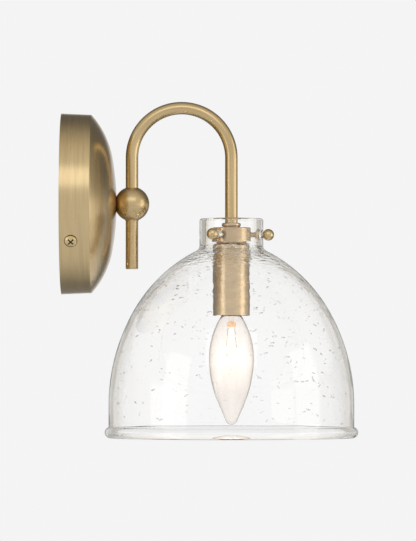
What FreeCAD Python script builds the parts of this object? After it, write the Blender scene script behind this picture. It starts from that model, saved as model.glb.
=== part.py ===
"""Wall sconce: a domed canopy, a ball, a bent arm and a hanging glass shade.

Millimetres. The origin is the centre of the canopy's back plane, on the wall.
+X leaves the wall, +Z is up, and the arm lies in the XZ plane.
"""
import FreeCAD
import Part
import math
import os

V = FreeCAD.Vector

# ---- clearances -------------------------------------------------------------
thread_gap = 0.05        # radial play of a screw, nipple or tube in its thread
slip_gap = 0.10          # radial play of a piece that slides in a hole
seat_gap = 0.10          # air between faces that only just miss each other

# ---- canopy: a spun dome on a shallow rim ------------------------------------
canopy_back_r = 63.5     # a 5 inch canopy
canopy_front_r = 62.6    # the rim tapers a little to its front edge
rim_depth = 21.1
canopy_height = 38.4     # wall to the flat on the crown
crown_arc_r = 185.0      # the middle of the dome
crown_reach = 33.0       # radius at which the crown turns into the shoulder
crown_flat_r = 8.0       # flat in the middle, under the ball and over the washer
canopy_wall = 1.2
rim_edge_round = 0.5

# ---- side screws that hold the canopy to the strap ---------------------------
side_screw_x = 8.2       # from the wall
side_screw_turn = 26.0   # degrees that the screw line is turned from level
side_screw_r = 2.05
side_screw_length = 9.0
side_head_r = 4.2
side_head_height = 2.4
spot_margin = 0.4        # flat spot in the rim, past the screw's head
spot_depth = 0.5
cross_width = 1.0        # cross recess of a screw head
cross_share = 0.62       # its length, of the head's diameter
cross_depth_share = 0.5  # its depth, of the head's height
head_side_share = 0.4    # upright side of a pan head, of its height
screw_tip_share = 0.33   # bevel at a screw's tip, of its radius
cross_turn = 45          # degrees that a cross is turned on its screw

# ---- mounting strap ----------------------------------------------------------
strap_width = 12.7
strap_t = 1.6
strap_bend_r = 1.2
tab_gap = 0.6            # strap tab to the inside of the canopy
tab_past_screw = 5.0     # how far a tab runs past its screw
tab_corner_r = 3.0
strap_raise = 7.0        # the middle stands off the wall, clear of the wires
raised_half = 20.0
box_pitch_wide = 88.9    # outlet box screws, 3 1/2 inch
box_pitch_narrow = 69.85 # outlet box screws, 2 3/4 inch
box_hole_r = 2.4
strap_centre_hole_r = 6.0
ground_reach = 14.0      # centre of the strap to the ground screw
ground_r = 2.35
ground_length = 8.0
ground_flange_r = 4.8
ground_flange_t = 1.0
ground_hex = 6.35
ground_head_height = 3.4

# ---- ball and its fixing through the canopy ----------------------------------
ball_r = 12.2
ball_flat_r = 5.3        # flat turned on the ball, face to face with the crown
nipple_r = 4.0
nipple_bore_r = 2.75
nipple_in_ball = 5.5
nipple_stick_out = 2.0   # thread past the nut
washer_margin = 0.5      # flat of the crown left round the washer
washer_t = 1.0
washer_teeth = 10
washer_tooth_depth = 1.3
canopy_nut_hex = 12.7
canopy_nut_height = 3.2
wire_way_r = 3.0         # passage inside the ball

# ---- arm: one bent tube --------------------------------------------------------
tube_r = 4.4
tube_wall = 0.9
arm_span = 69.8          # axis to axis of the two legs
arch_rise = 32.5         # ball centre to the centre of the arch
tube_seat_z = 2.0        # the leg's end inside the ball
arm_drop = 49.1          # centre of the arch to the top of the hub

# ---- tail rod below the ball -------------------------------------------------
tail_end_z = -45.7
tail_joint_z = -13.4     # where the rod meets the ball's neck
tail_spigot_r = 2.5
tail_spigot_length = 5.5
tail_chamfer = 0.5
neck_fillet = 1.6        # hollow between the ball and its neck

# ---- check ring and hub on the lamp end of the tube ----------------------------
ring_r = 6.65
ring_height = 3.4
ring_foot_r = 5.6
hub_r = 13.6
hub_height = 10.0
hub_lip_r = 13.9
hub_lip_height = 1.2
hub_boss_r = 10.5        # step below the hub, inside the dark groove
hub_boss_height = 1.3
hub_edge = 0.5

# ---- thumbscrews and their bushes ----------------------------------------------
screw_count = 3
knob_r = 4.1
knob_reach = 25.9        # lamp axis to the centre of a knob
shank_r = 2.0
shank_tip_reach = 8.4    # lamp axis to a screw's tip
hub_hole_floor = 7.6     # lamp axis to the end of a tapped hole
shank_chamfer = 0.4
bush_r = 3.0

# ---- glass shade ---------------------------------------------------------------
neck_r = 22.35
neck_wall = 4.4
neck_rise = 11.4         # screws up to the top of the neck
neck_drop = 10.1         # screws down to the corner of neck and dome
neck_lip_round = 1.6
neck_fillet_out = 3.5
dome_r = 86.1
shoulder_arc_r = 106.0   # upper part of the dome
skirt_arc_r = 133.5      # lower part of the dome
skirt_turn = 30.0        # degrees of the lower arc
skirt_wall = 2.8
crown_thicker = 1.0      # the wall is this much thicker near the neck
skirt_straight = 19.3    # straight wall down to the middle of the bead
bead_r = 3.9
bead_out = 2.7           # the bead stands this far out of the skirt

# ---- socket cup and what it holds ----------------------------------------------
cup_r = 12.95
cup_wall = 0.8
cup_height = 50.2
cup_edge_round = 1.0
bracket_t = 1.2
bracket_width = 9.0
bracket_half = 8.4       # inside face of each leg from the lamp axis
bracket_leg = 17.0
bracket_bend_r = 0.8
socket_nut_hex = 12.7
socket_nut_height = 4.0
tube_stick_out = 1.0     # thread past the socket nut
socket_top_gap = 1.5
socket_r = 10.2
socket_height = 35.5
socket_waist = 12.0      # length of the flats at the top
terminal_flat = 7.8      # lamp axis to the flats under the terminals
socket_edge = 0.6        # bevel of the body, and room past a screw's tip
small_head_r = 2.6
small_head_height = 1.4
small_screw_r = 1.5
small_screw_length = 4.5
small_screw_drop = 7.0   # socket top down to the small screws
shell_in_r = 6.0
shell_t = 0.4
shell_height = 15.4
shell_inset = 0.8        # shell end up from the socket's mouth
shell_hole_r = 3.4
contact_r = 2.2
contact_height = 1.3

# ---- bulb: a clear candle lamp on a 12 mm screw cap -----------------------------
bulb_length = 97.9
bulb_r = 15.85
bulb_widest_drop = 51.0  # contact to the widest place
bulb_upper_arc_r = 55.0
bulb_taper_lean = 22.9   # degrees from upright, between the lower arc and the tip
bulb_tip_r = 4.2
bulb_wall = 0.7
cap_r = 5.85
cap_wall = 0.4
cap_length = 17.2        # contact to the cap's open end
cap_cone = 1.6
solder_r = 2.0
solder_height = 0.9
insulator_r = 4.4
insulator_height = 1.3
glass_in_cap = 5.0
stem_tube_r = 1.9
stem_flare_r = 4.3
stem_top_drop = 15.5     # contact to the flare
stem_flare_height = 3.0
press_drop = 26.0        # contact to the pressed part
press_width = 6.6
press_depth = 2.4
press_height = 3.6
rod_r = 0.6
rod_length = 6.0
lead_r = 0.3
lead_half_top = 2.3
lead_half_low = 3.8
lead_length = 14.0
filament_r = 0.45
filament_sag = 9.0

# ---- places that follow ----------------------------------------------------------
ball_x = canopy_height + math.sqrt(ball_r ** 2 - ball_flat_r ** 2)
arch_r = arm_span / 2
lamp_x = ball_x + arm_span
hub_top = arch_rise - arm_drop
screw_z = hub_top - hub_height / 2
hub_bottom = hub_top - hub_height
cup_top = hub_bottom - hub_boss_height
cup_bottom = cup_top - cup_height
bracket_top = cup_top - cup_wall
socket_nut_top = bracket_top - bracket_t
tube_end = socket_nut_top - socket_nut_height - tube_stick_out
socket_top = tube_end - socket_top_gap
socket_bottom = socket_top - socket_height
shell_bottom = socket_bottom + shell_inset
shell_top = shell_bottom + shell_height
bulb_top = shell_top - contact_height - seat_gap
bulb_tip = bulb_top - bulb_length
canopy_inside_x = canopy_height - canopy_wall
washer_r = crown_flat_r - washer_margin


# ---- drawing and turning -----------------------------------------------------------
class Section:
    """A closed half section, drawn from point to point as (radius, height)."""

    def __init__(self, radius, height):
        self.start = (radius, height)
        self.here = self.start
        self.steps = []

    def line(self, radius, height):
        self.steps.append((self.here, None, (radius, height)))
        self.here = (radius, height)
        return self

    def arc(self, radius, height, centre):
        """An arc about a centre, the short way round, to the given point."""
        spoke_a = V(self.here[0] - centre[0], self.here[1] - centre[1], 0)
        spoke_b = V(radius - centre[0], height - centre[1], 0)
        middle = (spoke_a + spoke_b).normalize() * spoke_a.Length
        over = (centre[0] + middle.x, centre[1] + middle.y)
        self.steps.append((self.here, over, (radius, height)))
        self.here = (radius, height)
        return self

    def face(self, place):
        steps = self.steps
        if self.here != self.start:
            steps = steps + [(self.here, None, self.start)]
        edges = []
        for first, over, last in steps:
            if over is None:
                edges.append(Part.makeLine(place(first), place(last)))
            else:
                arc = Part.Arc(place(first), place(over), place(last))
                edges.append(arc.toShape())
        return Part.Face(Part.Wire(edges))

    def spun(self, x=0.0):
        """The solid turned about the upright line at x."""
        face = self.face(lambda p: V(x + p[0], 0, p[1]))
        return face.revolve(V(x, 0, 0), V(0, 0, 1), 360)

    def spun_from_wall(self):
        """The solid turned about the X axis, with height along +X."""
        face = self.face(lambda p: V(p[1], 0, p[0]))
        return face.revolve(V(0, 0, 0), V(1, 0, 0), 360)


def rod(radius, start, end):
    """A round rod from one point to another."""
    way = end - start
    return Part.makeCylinder(radius, way.Length, start, way)


def aimed(shape, point, direction, twist=0.0):
    """A shape drawn about +Z, turned to face a direction and put at a point."""
    moved = shape.copy()
    spin = FreeCAD.Rotation(V(0, 0, 1), twist)
    aim = FreeCAD.Rotation(V(0, 0, 1), direction)
    moved.Placement = FreeCAD.Placement(point, aim.multiply(spin))
    return moved


def round_edges(shape, radius, picked):
    """Fillets the circular edges that picked(radius, centre) says yes to."""
    edges = []
    for edge in shape.Edges:
        curve = edge.Curve
        if isinstance(curve, Part.Circle) and picked(curve.Radius, curve.Center):
            edges.append(edge)
    return shape.makeFillet(radius, edges)


def near(a, b):
    return abs(a - b) < 0.01


def hex_nut(across_flats, height, bore_r):
    """A nut from z = 0 up, with its corners turned off at both ends."""
    corner_r = across_flats / math.sqrt(3)
    points = [V(corner_r * math.cos(math.radians(60 * i)),
                corner_r * math.sin(math.radians(60 * i)), 0) for i in range(7)]
    prism = Part.Face(Part.makePolygon(points)).extrude(V(0, 0, height))
    flat_r = across_flats / 2
    bevel = (corner_r - flat_r) / 2
    blank = (Section(bore_r, 0).line(flat_r, 0).line(corner_r, bevel)
             .line(corner_r, height - bevel).line(flat_r, height).line(bore_r, height))
    return prism.common(blank.spun())


def pan_screw(head_r, head_height, shank_r_, length):
    """A cross recessed screw: its head stands on z = 0 and its shank hangs below."""
    side = head_height * head_side_share
    rise = head_height - side
    crown_r = (head_r ** 2 + rise ** 2) / (2 * rise)
    tip = shank_r_ * screw_tip_share
    outline = (Section(0, head_height)
               .arc(head_r, side, (0, head_height - crown_r))
               .line(head_r, 0).line(shank_r_, 0)
               .line(shank_r_, tip - length).line(shank_r_ - tip, -length).line(0, -length))
    screw = outline.spun()
    reach = head_r * cross_share
    depth = head_height * cross_depth_share
    for across in (0, 90):
        bar = Part.makeBox(2 * reach, cross_width, head_height,
                           V(-reach, -cross_width / 2, head_height - depth))
        bar.rotate(V(0, 0, 0), V(0, 0, 1), across)
        screw = screw.cut(bar)
    return screw


def bent_strip(points, bend_r, thickness, width):
    """Sheet metal strip. The (u, v) points run clockwise along its outer face, which is
    bent on one radius at each point, and the metal lies on the inner side."""
    path = Part.makePolygon([V(u, v, 0) for u, v in points])
    edges = [path.Edges[0]]
    for following in path.Edges[1:]:
        corner = edges[-1].Vertexes[-1].Point
        before = edges[-1].Vertexes[0].Point
        after = following.Vertexes[-1].Point
        into = (before - corner).normalize()
        away = (after - corner).normalize()
        half = into.getAngle(away) / 2
        back = bend_r / math.tan(half)
        start = corner + into * back
        end = corner + away * back
        centre = corner + (into + away).normalize() * (bend_r / math.sin(half))
        over = centre + (corner - centre).normalize() * bend_r
        edges[-1] = Part.makeLine(before, start)
        edges.append(Part.Arc(start, over, end).toShape())
        edges.append(Part.makeLine(end, after))
    wire = Part.Wire(edges)
    face = wire.makeOffset2D(thickness, fill=True, openResult=True)
    strip = face.extrude(V(0, 0, width))
    strip.translate(V(0, 0, -width / 2))
    return strip


# ---- canopy -------------------------------------------------------------------------
def dome_section(inset):
    """Half section of the canopy's solid form, drawn in by a wall's thickness."""
    crown_r = crown_arc_r - inset
    top = canopy_height - inset
    crown_centre = canopy_height - math.sqrt(crown_arc_r ** 2 - crown_flat_r ** 2)
    turn = math.asin(crown_reach / crown_arc_r)
    edge_x = rim_depth - crown_centre
    along = edge_x * math.cos(turn) + canopy_front_r * math.sin(turn)
    chord = edge_x ** 2 + canopy_front_r ** 2 - crown_arc_r ** 2
    between = chord / (2 * (along - crown_arc_r))
    shoulder_x = crown_centre + between * math.cos(turn)
    shoulder_z = between * math.sin(turn)
    shoulder_r = crown_arc_r - between - inset
    rim_r = canopy_front_r - inset
    rim_x = shoulder_x + math.sqrt(shoulder_r ** 2 - (rim_r - shoulder_z) ** 2)
    flat_r = math.sqrt(crown_r ** 2 - (top - crown_centre) ** 2)
    join = (crown_r * math.sin(turn), crown_centre + crown_r * math.cos(turn))
    return (Section(0, 0).line(canopy_back_r - inset, 0).line(rim_r, rim_x)
            .arc(join[0], join[1], (shoulder_z, shoulder_x))
            .arc(flat_r, top, (0, crown_centre)).line(0, top))


def rim_radius(x):
    """Outside radius of the canopy's tapered rim at a distance from the wall."""
    return canopy_back_r + (canopy_front_r - canopy_back_r) * x / rim_depth


def side_screw_seats():
    """The two flat spots under the side screws: place and outward direction."""
    seats = []
    for turn in (side_screw_turn, side_screw_turn + 180):
        angle = math.radians(turn)
        out = V(0, math.cos(angle), math.sin(angle))
        reach = rim_radius(side_screw_x) - spot_depth
        seats.append((V(side_screw_x, 0, 0) + out * reach, out))
    return seats


def canopy():
    shell = dome_section(0).spun_from_wall()
    shell = round_edges(shell, rim_edge_round,
                        lambda r, c: near(r, canopy_front_r) and near(c.x, rim_depth))
    shell = shell.cut(dome_section(canopy_wall).spun_from_wall())
    bore_r = nipple_r + slip_gap
    shell = shell.cut(rod(bore_r, V(0, 0, 0), V(canopy_height + canopy_wall, 0, 0)))
    for seat, out in side_screw_seats():
        spot = rod(side_head_r + spot_margin, seat, seat + out * side_head_height)
        inside = seat - out * side_screw_length
        hole = rod(side_screw_r + slip_gap, inside, seat + out * side_head_height)
        shell = shell.cut(spot).cut(hole)
    return shell


def canopy_screws():
    screw = pan_screw(side_head_r, side_head_height, side_screw_r, side_screw_length)
    return Part.makeCompound([aimed(screw, seat, out, cross_turn)
                              for seat, out in side_screw_seats()])


# ---- mounting strap --------------------------------------------------------------------
def strap_turned(shape):
    """Turns what is drawn along Y onto the line of the side screws."""
    shape.rotate(V(0, 0, 0), V(1, 0, 0), side_screw_turn)
    return shape


def strap_reach():
    """Outside face of a strap tab from the centre."""
    half = strap_width / 2
    rim = min(rim_radius(0), rim_radius(side_screw_x + tab_past_screw))
    inside = rim - canopy_wall - tab_gap
    return math.sqrt(inside ** 2 - half ** 2)


def mounting_strap():
    reach = strap_reach()
    tab_top = side_screw_x + tab_past_screw
    foot = raised_half + strap_raise
    points = [(reach, tab_top), (reach, 0), (foot, 0), (raised_half, strap_raise),
              (-raised_half, strap_raise), (-foot, 0), (-reach, 0), (-reach, tab_top)]
    strip = bent_strip(points, strap_bend_r + strap_t, strap_t, strap_width)
    strip.rotate(V(0, 0, 0), V(1, 1, 0), 180)
    corners = [edge for edge in strip.Edges
               if near(edge.Length, strap_t) and near(edge.CenterOfMass.x, tab_top)]
    strip = strip.makeFillet(tab_corner_r, corners)
    through = V(strap_raise + 2 * strap_t, 0, 0)
    for pitch in (box_pitch_wide, -box_pitch_wide, box_pitch_narrow, -box_pitch_narrow):
        start = V(-strap_t, pitch / 2, 0)
        strip = strip.cut(rod(box_hole_r, start, start + through))
    strip = strip.cut(rod(strap_centre_hole_r, V(0, 0, 0), through))
    ground = V(0, ground_reach, 0)
    strip = strip.cut(rod(ground_r + thread_gap, ground, ground + through))
    for side in (-1, 1):
        end = V(side_screw_x, side * (reach + strap_t), 0)
        strip = strip.cut(rod(side_screw_r + thread_gap, V(side_screw_x, 0, 0), end))
    return strap_turned(strip)


def ground_screw():
    flat = strap_raise + strap_t
    head = hex_nut(ground_hex, ground_head_height - ground_flange_t, 0)
    head.translate(V(0, 0, ground_flange_t))
    flange = Part.makeCylinder(ground_flange_r, ground_flange_t)
    shank = rod(ground_r, V(0, 0, 0), V(0, 0, -ground_length))
    slot = Part.makeBox(ground_hex * 2, cross_width, cross_width,
                        V(-ground_hex, -cross_width / 2, ground_head_height - cross_width))
    screw = head.fuse([flange, shank]).removeSplitter().cut(slot)
    return strap_turned(aimed(screw, V(flat, ground_reach, 0), V(1, 0, 0)))


# ---- ball, its nipple, and the tail rod ---------------------------------------------------
def ball():
    neck_top = -math.sqrt((ball_r + neck_fillet) ** 2 - (tube_r + neck_fillet) ** 2)
    hollow = (tube_r + neck_fillet, neck_top)
    touch = ball_r / (ball_r + neck_fillet)
    outline = (Section(0, ball_r).arc(ball_r, 0, (0, 0))
               .arc(hollow[0] * touch, hollow[1] * touch, (0, 0))
               .arc(tube_r, neck_top, hollow)
               .line(tube_r, tail_joint_z).line(0, tail_joint_z))
    body = outline.spun(ball_x)
    side = 2 * ball_r
    body = body.cut(Part.makeBox(side, 2 * side, 2 * side,
                                 V(canopy_height - side, -side, -side)))
    leg = rod(tube_r + thread_gap, V(ball_x, 0, tube_seat_z), V(ball_x, 0, side))
    down = rod(wire_way_r, V(ball_x, 0, -wire_way_r), V(ball_x, 0, side))
    thread = rod(nipple_r + thread_gap, V(canopy_height - side, 0, 0),
                 V(canopy_height + nipple_in_ball + seat_gap, 0, 0))
    across = rod(nipple_bore_r, V(canopy_height, 0, 0), V(ball_x, 0, 0))
    spigot_top = tail_joint_z + tail_spigot_length + seat_gap
    spigot = rod(tail_spigot_r + thread_gap, V(ball_x, 0, -side), V(ball_x, 0, spigot_top))
    return body.cut([leg, down, thread, across, spigot])


def canopy_nipple():
    start = (canopy_inside_x - washer_t - canopy_nut_height - nipple_stick_out)
    end = canopy_height + nipple_in_ball
    edge = (nipple_r - nipple_bore_r) / 3
    return (Section(nipple_bore_r, start).line(nipple_r - edge, start)
            .line(nipple_r, start + edge).line(nipple_r, end - edge)
            .line(nipple_r - edge, end).line(nipple_bore_r, end)).spun_from_wall()


def canopy_washer():
    start = canopy_inside_x - washer_t
    ring = (Section(nipple_r + thread_gap, start).line(washer_r, start)
            .line(washer_r, canopy_inside_x).line(nipple_r + thread_gap, canopy_inside_x))
    washer = ring.spun_from_wall()
    gap_width = math.pi * washer_r / washer_teeth / 2
    for i in range(washer_teeth):
        gap = Part.makeBox(washer_t * 3, gap_width, washer_tooth_depth * 2,
                           V(start - washer_t, -gap_width / 2, washer_r - washer_tooth_depth))
        gap.rotate(V(0, 0, 0), V(1, 0, 0), 360 * i / washer_teeth)
        washer = washer.cut(gap)
    return washer


def canopy_nut():
    nut = hex_nut(canopy_nut_hex, canopy_nut_height, nipple_r + thread_gap)
    return aimed(nut, V(canopy_inside_x - washer_t, 0, 0), V(-1, 0, 0))


def tail_rod():
    spigot_top = tail_joint_z + tail_spigot_length
    return (Section(0, spigot_top).line(tail_spigot_r, spigot_top)
            .line(tail_spigot_r, tail_joint_z).line(tube_r, tail_joint_z)
            .line(tube_r, tail_end_z + tail_chamfer)
            .line(tube_r - tail_chamfer, tail_end_z).line(0, tail_end_z)).spun(ball_x)


# ---- arm tube ----------------------------------------------------------------------------
def arm_solid(radius):
    """The arm's bent form as a solid bar of one radius."""
    up = rod(radius, V(ball_x, 0, tube_seat_z), V(ball_x, 0, arch_rise))
    down = rod(radius, V(lamp_x, 0, tube_end), V(lamp_x, 0, arch_rise))
    disc = Part.Face(Part.Wire(Part.makeCircle(radius, V(ball_x, 0, arch_rise), V(0, 0, 1))))
    arch = disc.revolve(V(ball_x + arch_r, 0, arch_rise), V(0, 1, 0), 180)
    return up.fuse([down, arch])


def arm_tube():
    return arm_solid(tube_r).cut(arm_solid(tube_r - tube_wall)).removeSplitter()


# ---- check ring and hub ---------------------------------------------------------------------
def check_ring():
    bore = tube_r + thread_gap
    top = hub_top + ring_height
    bulge = (ring_r - ring_foot_r)
    foot = hub_top + bulge / 2
    return (Section(bore, hub_top).line(ring_foot_r, hub_top).line(ring_foot_r, foot)
            .arc(ring_r, foot + bulge, (ring_foot_r, foot + bulge))
            .line(ring_r, top - bulge)
            .arc(ring_r - bulge, top, (ring_r - bulge, top - bulge))
            .line(bore, top)).spun(lamp_x)


def screw_directions():
    turns = [math.radians(360 * i / screw_count) for i in range(screw_count)]
    return [V(math.cos(turn), math.sin(turn), 0) for turn in turns]


def from_lamp_axis(direction, reach):
    return V(lamp_x, 0, screw_z) + direction * reach


def shade_hub():
    bore = tube_r + thread_gap
    lip_top = hub_bottom + hub_lip_height
    blank = (Section(bore, hub_top).line(hub_r - hub_edge, hub_top)
             .line(hub_r, hub_top - hub_edge).line(hub_r, lip_top)
             .line(hub_lip_r, lip_top).line(hub_lip_r, hub_bottom)
             .line(hub_boss_r, hub_bottom).line(hub_boss_r, cup_top)
             .line(bore, cup_top)).spun(lamp_x)
    holes = [rod(shank_r + thread_gap, from_lamp_axis(way, hub_hole_floor),
                 from_lamp_axis(way, 2 * hub_r)) for way in screw_directions()]
    return blank.cut(holes)


# ---- thumbscrews and bushes -------------------------------------------------------------------
def thumbscrew():
    """A ball knob on a threaded shank, along +Z from the lamp axis."""
    under = knob_reach - math.sqrt(knob_r ** 2 - shank_r ** 2)
    tip = shank_tip_reach
    return (Section(0, knob_reach + knob_r)
            .arc(knob_r, knob_reach, (0, knob_reach))
            .arc(shank_r, under, (0, knob_reach))
            .line(shank_r, tip + shank_chamfer)
            .line(shank_r - shank_chamfer, tip).line(0, tip)).spun()


def bush():
    """A plain sleeve in the wall of the glass neck, along +Z from the lamp axis."""
    under = knob_reach - math.sqrt(knob_r ** 2 - bush_bore() ** 2)
    inner = neck_r - neck_wall
    return (Section(bush_bore(), inner).line(bush_r, inner)
            .line(bush_r, under - seat_gap).line(bush_bore(), under - seat_gap)).spun()


def bush_bore():
    return shank_r + slip_gap / 2


# ---- glass shade -------------------------------------------------------------------------------
def shade_centres(inset):
    """Centres of the upper and lower arcs of the dome, as (radius, height)."""
    turn = math.radians(skirt_turn)
    lower_r = dome_r - skirt_arc_r
    between = skirt_arc_r - shoulder_arc_r
    upper_r = lower_r + between * math.cos(turn)
    upper_z = screw_z - neck_drop - math.sqrt(shoulder_arc_r ** 2 - (neck_r - upper_r) ** 2)
    lower_z = upper_z - between * math.sin(turn)
    shift = crown_thicker if inset else 0
    return (upper_r, upper_z - shift), (lower_r, lower_z - shift)


def shade_section(inset, neck, top):
    """Half section of the shade's solid form, drawn in by the wall's thickness."""
    upper, lower = shade_centres(inset)
    turn = math.radians(skirt_turn)
    skirt_arc = skirt_arc_r - inset
    shoulder_arc = shoulder_arc_r - inset
    corner_z = upper[1] + math.sqrt(shoulder_arc ** 2 - (neck - upper[0]) ** 2)
    join = (lower[0] + skirt_arc * math.cos(turn), lower[1] + skirt_arc * math.sin(turn))
    bottom = bead_z()
    return corner_z, (Section(0, top).line(neck, top).line(neck, corner_z)
                      .arc(join[0], join[1], upper)
                      .arc(dome_r - inset, lower[1], lower)
                      .line(dome_r - inset, bottom).line(0, bottom))


def bead_z():
    """Height of the middle of the bead round the mouth."""
    return shade_centres(0)[1][1] - skirt_straight


def glass_shade():
    top = screw_z + neck_rise
    corner_z, outline = shade_section(0, neck_r, top)
    solid = outline.spun(lamp_x)
    solid = round_edges(solid, neck_fillet_out,
                        lambda r, c: near(r, neck_r) and near(c.z, corner_z))
    solid = round_edges(solid, neck_lip_round,
                        lambda r, c: near(r, neck_r) and near(c.z, top))
    inner_r = neck_r - neck_wall
    corner_z, outline = shade_section(skirt_wall, inner_r, top + neck_rise)
    hollow = outline.spun(lamp_x)
    hollow = round_edges(hollow, neck_fillet_out + neck_wall,
                         lambda r, c: near(r, inner_r) and near(c.z, corner_z))
    ring = Part.makeTorus(dome_r + bead_out - bead_r, bead_r, V(lamp_x, 0, bead_z()))
    shade = solid.cut(hollow).fuse(ring).removeSplitter()
    shade = round_edges(shade, neck_lip_round / 2,
                        lambda r, c: near(r, inner_r) and near(c.z, top))
    holes = [rod(bush_r + slip_gap, from_lamp_axis(way, hub_r), from_lamp_axis(way, knob_reach))
             for way in screw_directions()]
    return shade.cut(holes)


# ---- socket cup and socket ---------------------------------------------------------------------
def socket_cup():
    bore = tube_r + thread_gap
    inside_top = cup_top - cup_wall
    inner_round = cup_edge_round - cup_wall
    shoulder = cup_r - cup_edge_round
    centre = (shoulder, cup_top - cup_edge_round)
    return (Section(bore, cup_top).line(shoulder, cup_top)
            .arc(cup_r, centre[1], centre).line(cup_r, cup_bottom)
            .line(cup_r - cup_wall, cup_bottom).line(cup_r - cup_wall, centre[1])
            .arc(shoulder, centre[1] + inner_round, centre)
            .line(bore, inside_top)).spun(lamp_x)


def socket_bracket():
    low = bracket_top - bracket_leg
    outer = bracket_half + bracket_t
    points = [(-outer, low), (-outer, bracket_top), (outer, bracket_top), (outer, low)]
    strip = bent_strip(points, bracket_bend_r + bracket_t, bracket_t, bracket_width)
    strip.rotate(V(0, 0, 0), V(1, 0, 0), 90)
    strip.translate(V(lamp_x, 0, 0))
    bore = rod(tube_r + thread_gap, V(lamp_x, 0, low), V(lamp_x, 0, cup_top))
    hole = rod(small_screw_r + slip_gap, V(lamp_x - cup_r, 0, small_screw_z()),
               V(lamp_x + cup_r, 0, small_screw_z()))
    return strip.cut([bore, hole])


def small_screw_z():
    return socket_top - small_screw_drop


def socket_nut():
    nut = hex_nut(socket_nut_hex, socket_nut_height, tube_r + thread_gap)
    return aimed(nut, V(lamp_x, 0, socket_nut_top), V(0, 0, -1))


def small_screws(across, seat):
    """Two small screws that face each other across the socket."""
    screw = pan_screw(small_head_r, small_head_height, small_screw_r, small_screw_length)
    axis = V(lamp_x, 0, small_screw_z())
    return Part.makeCompound([aimed(screw, axis + way * seat, way, cross_turn)
                              for way in (across, across * -1)])


def socket_body():
    blank = (Section(0, socket_top).line(socket_r - socket_edge, socket_top)
             .line(socket_r, socket_top - socket_edge)
             .line(socket_r, socket_bottom + socket_edge)
             .line(socket_r - socket_edge, socket_bottom).line(0, socket_bottom)).spun(lamp_x)
    size = 2 * socket_r
    waist_z = socket_top - socket_waist
    cuts = []
    for side in (-1, 1):
        leg_flat = lamp_x + side * (bracket_half - seat_gap / 2 + socket_r)
        cuts.append(Part.makeBox(size, size, size, V(leg_flat - socket_r, -socket_r, waist_z)))
        wire_flat = side * (terminal_flat + socket_r)
        cuts.append(Part.makeBox(size, size, size,
                                 V(lamp_x - socket_r, wire_flat - socket_r, waist_z)))
    mouth = rod(shell_in_r + shell_t + thread_gap, V(lamp_x, 0, socket_bottom - socket_r),
                V(lamp_x, 0, shell_top + seat_gap / 2))
    cuts.append(mouth)
    tap_r = small_screw_r + thread_gap
    level = small_screw_z()
    room = small_screw_length + socket_edge
    for way, seat in ((V(1, 0, 0), bracket_half), (V(0, 1, 0), terminal_flat)):
        for side in (-1, 1):
            start = V(lamp_x, 0, level) + way * (side * (seat - room))
            cuts.append(rod(tap_r, start, V(lamp_x, 0, level) + way * (side * size)))
    return blank.cut(cuts)


def socket_shell():
    outer = shell_in_r + shell_t
    return (Section(shell_hole_r, shell_top).line(outer, shell_top)
            .line(outer, shell_bottom).line(shell_in_r, shell_bottom)
            .line(shell_in_r, shell_top - shell_t)
            .line(shell_hole_r, shell_top - shell_t)).spun(lamp_x)


def socket_contact():
    low = shell_top - contact_height
    side = contact_height / 2
    crown_r = (contact_r ** 2 + side ** 2) / (2 * side)
    return (Section(0, shell_top).line(contact_r, shell_top).line(contact_r, low + side)
            .arc(0, low, (0, low + crown_r))).spun(lamp_x)


# ---- bulb ----------------------------------------------------------------------------------------
def bulb_lower_arc_r(lean):
    """Radius of the arc that leaves the widest place upright and runs into the taper."""
    below = bulb_length - bulb_widest_drop
    fall = bulb_tip_r * (1 - math.sin(lean)) + below * math.sin(lean) - bulb_r * math.cos(lean)
    return fall / (1 - math.cos(lean))


def bulb_section(inset, neck):
    """Half section of the bulb's solid form, drawn in by the glass's thickness."""
    lean = math.radians(bulb_taper_lean)
    lower_arc_r = bulb_lower_arc_r(lean)
    widest_z = bulb_top - bulb_widest_drop
    upper = (bulb_r - bulb_upper_arc_r, widest_z)
    lower = (bulb_r - lower_arc_r, widest_z)
    upper_r = bulb_upper_arc_r - inset
    lower_r = lower_arc_r - inset
    cap_end = bulb_top - cap_length
    throat = cap_r - inset
    throat_z = widest_z + math.sqrt(upper_r ** 2 - (throat - upper[0]) ** 2)
    taper_r = lower[0] + lower_r * math.cos(lean)
    taper_z = widest_z - lower_r * math.sin(lean)
    tip_r = bulb_tip_r - inset
    tip_z = bulb_tip + bulb_tip_r
    return (Section(0, cap_end + glass_in_cap).line(neck, cap_end + glass_in_cap)
            .line(neck, cap_end - seat_gap).line(throat, cap_end - seat_gap)
            .line(throat, throat_z)
            .arc(bulb_r - inset, widest_z, upper).arc(taper_r, taper_z, lower)
            .line(tip_r * math.cos(lean), tip_z - tip_r * math.sin(lean))
            .arc(0, tip_z - tip_r, (0, tip_z)))


def bulb_glass():
    neck = cap_r - cap_wall - thread_gap
    solid = bulb_section(0, neck).spun(lamp_x)
    return solid.cut(bulb_section(bulb_wall, neck - bulb_wall).spun(lamp_x))


def bulb_cap():
    end = bulb_top - cap_length
    cone_low = bulb_top - solder_height - insulator_height
    cone_r = insulator_r - cap_wall
    return (Section(cone_r, cone_low).line(insulator_r, cone_low)
            .line(cap_r, cone_low - cap_cone).line(cap_r, end)
            .line(cap_r - cap_wall, end).line(cap_r - cap_wall, cone_low - cap_cone)
            .line(cone_r, cone_low - cap_wall)).spun(lamp_x)


def bulb_insulator():
    low = bulb_top - solder_height - insulator_height
    high = bulb_top - solder_height
    return (Section(0, low).line(insulator_r, low).line(solder_r + cap_wall, high)
            .line(0, high)).spun(lamp_x)


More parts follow.
